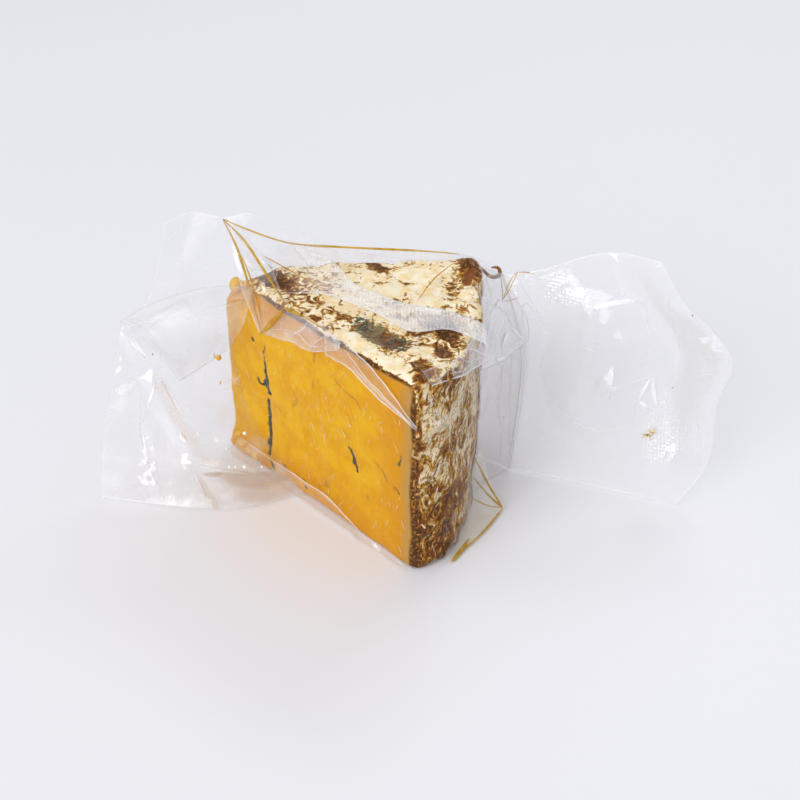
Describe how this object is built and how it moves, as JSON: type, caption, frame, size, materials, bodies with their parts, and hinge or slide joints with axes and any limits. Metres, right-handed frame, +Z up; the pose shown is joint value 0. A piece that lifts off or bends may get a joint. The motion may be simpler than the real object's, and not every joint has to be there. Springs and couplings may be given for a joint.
{
  "type": "blue cheese wedge",
  "caption": "Upright wedge of orange blue cheese with a mottled rind, shrunk tight in a clear vacuum bag whose loose film stands out at both sides.",
  "frame": {"origin": "on the flat foot of the cheese, under the middle of the wedge", "axes": "+X to the side with the rind and along the bag's longest side, +Y to the back, +Z up"},
  "size_m": [0.2552, 0.0912, 0.1149],
  "materials": {
    "cheese": "waxy orange paste with blue-green veins and a dry cream, ochre and brown rind",
    "film": "clear glossy film, crumpled, with an embossed band"
  },
  "bodies": {
    "root": {"cheese_wedge": "cheese", "vacuum_bag": "film"}
  },
  "joints": []
}
